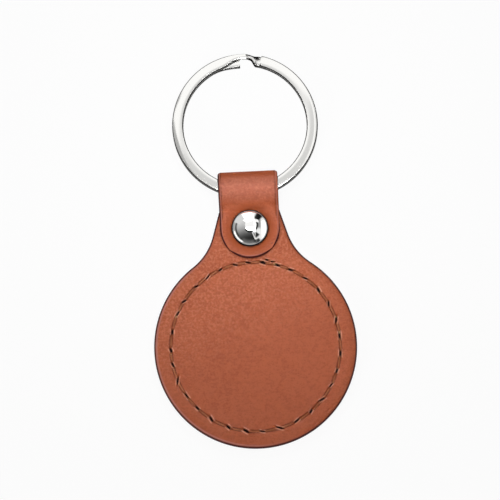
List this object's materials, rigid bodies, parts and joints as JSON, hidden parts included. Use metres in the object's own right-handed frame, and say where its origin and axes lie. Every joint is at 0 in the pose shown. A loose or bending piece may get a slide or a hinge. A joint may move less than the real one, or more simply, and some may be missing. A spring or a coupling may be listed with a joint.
{
  "type": "leather keychain",
  "caption": "Round stitched leather key fob with a riveted strap loop that carries a chrome split ring for keys.",
  "frame": {"origin": "on the surface that the fob lies on, under the middle of its outline", "axes": "+Y from the disc towards the key ring, +Z out of the front face, +X to the right seen from the front"},
  "size_m": [0.0442, 0.087, 0.0071],
  "materials": {
    "leather": "smooth fine-grained leather, satin",
    "board": "plain fibre board",
    "thread": "twisted sewing thread",
    "plating": "bright plated steel"
  },
  "bodies": {
    "fob": {"front_panel": "leather", "stiffener_board": "board", "back_panel": "leather", "needle_thread": "thread", "bobbin_thread": "thread", "rivet_cap": "plating", "rivet_socket": "plating", "rivet_post": "plating"},
    "key_ring": {"split_ring": "plating"}
  },
  "joints": [
    {"name": "ring_swing", "type": "hinge", "parent": "fob", "child": "key_ring", "pos_m": [0, 0.01357, 0.00357], "axis": [1, 0, 0], "range_deg": [-154, 176]}
  ]
}
